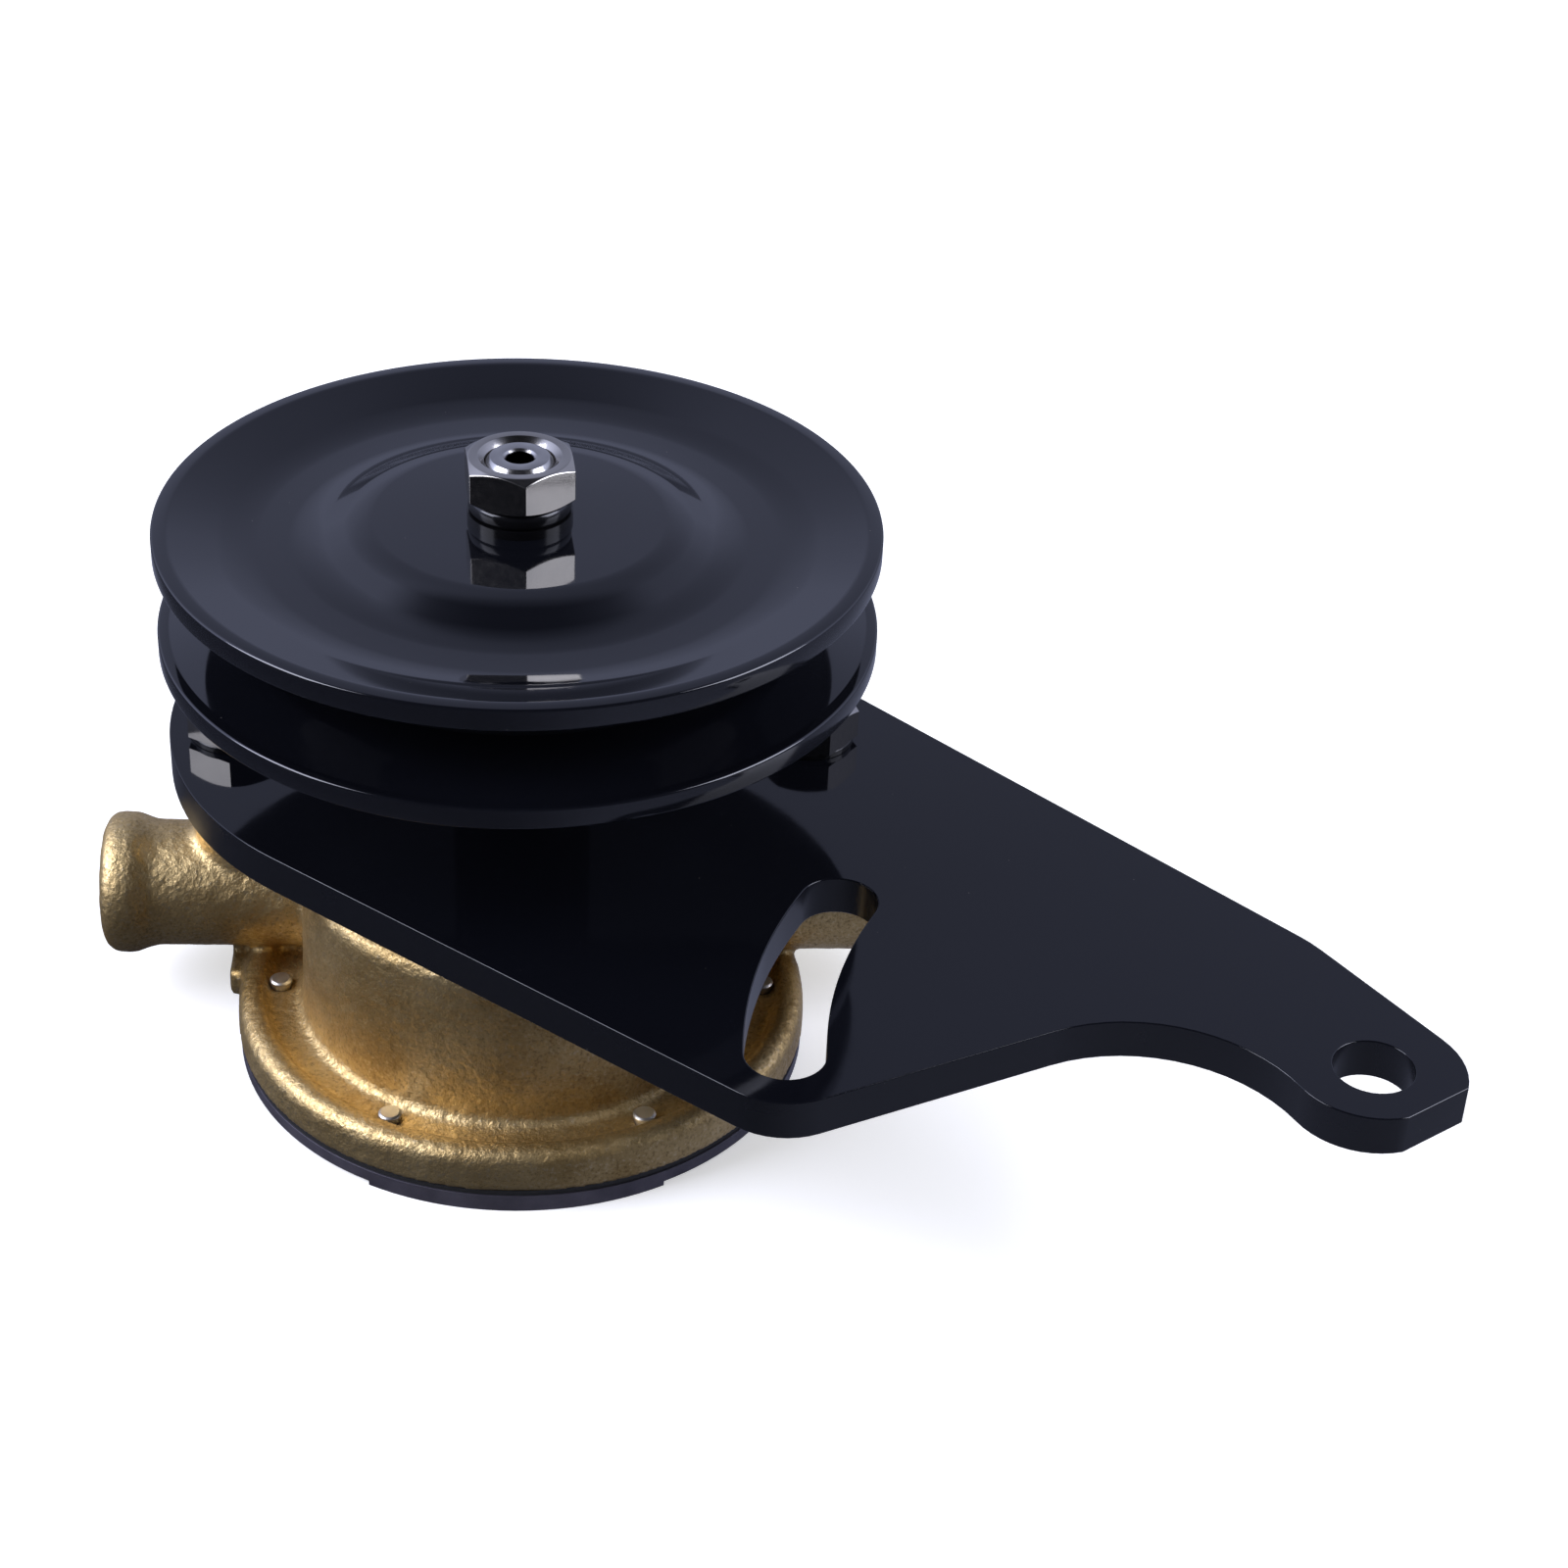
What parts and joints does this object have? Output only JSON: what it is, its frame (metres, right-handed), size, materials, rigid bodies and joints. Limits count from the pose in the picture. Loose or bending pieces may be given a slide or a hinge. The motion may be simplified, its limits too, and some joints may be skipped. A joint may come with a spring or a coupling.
{
  "type": "engine water pump",
  "caption": "Belt-driven flexible-impeller water pump: bronze casting with two hose ports, V-groove pulley, and a steel bracket with a curved adjusting slot.",
  "frame": {"origin": "on the shaft axis, in the plane of the end cover's lowest face", "axes": "+Z along the shaft towards the pulley nut, X along the two hose ports, -Y towards the bracket's pivot side"},
  "size_m": [0.3086, 0.2089, 0.1618],
  "materials": {
    "bronze_casting": "sand cast, matt",
    "machined_brass": "machined",
    "black_paint": "gloss paint on steel",
    "dark_cover": "dark grey, satin",
    "bright_steel": "bright zinc plate",
    "black_steel": "black oxide",
    "stainless": "ground",
    "bearing_steel": "polished",
    "black_rubber": "moulded"
  },
  "bodies": {
    "pump_body": {"body_casting": "bronze_casting", "cover_gasket": "black_rubber", "end_cover": "dark_cover", "cover_screws": "bright_steel", "cam": "machined_brass", "cam_screw": "bright_steel", "wear_plate": "stainless", "inner_lip_seal": "black_rubber", "outer_lip_seal": "black_rubber", "lower_bearing_outer_ring": "bearing_steel", "upper_bearing_outer_ring": "bearing_steel", "bearing_circlip": "black_steel", "mounting_bracket": "black_paint", "bracket_bolts": "bright_steel", "bracket_washers": "black_steel"},
    "rotor": {"shaft": "stainless", "shaft_circlip": "black_steel", "slinger_ring": "black_rubber", "impeller": "black_rubber", "impeller_insert": "machined_brass", "impeller_key": "stainless", "lower_bearing_inner_ring": "bearing_steel", "upper_bearing_inner_ring": "bearing_steel", "spacer_sleeve": "stainless", "pulley_hub": "black_paint", "pulley_key": "stainless", "pulley_rear_half": "black_paint", "pulley_groove_ring": "black_paint", "pulley_front_half": "black_paint", "flat_washer": "black_steel", "lock_washer": "black_steel", "pulley_nut": "bright_steel"},
    "ball_sets": {"lower_bearing_balls": "bearing_steel", "upper_bearing_balls": "bearing_steel", "lower_bearing_cage": "machined_brass", "upper_bearing_cage": "machined_brass"}
  },
  "joints": [
    {"name": "shaft_spin", "type": "hinge", "parent": "pump_body", "child": "rotor", "pos_m": [0, 0, 0.06], "axis": [0, 0, 1], "continuous": true, "deforming": ["impeller"]},
    {"name": "ball_orbit", "type": "hinge", "parent": "pump_body", "child": "ball_sets", "pos_m": [0, 0, 0.06], "axis": [0, 0, 1], "continuous": true}
  ],
  "couplings": [
    {"joint": "ball_orbit", "follows": "shaft_spin", "ratio": 0.406}
  ]
}
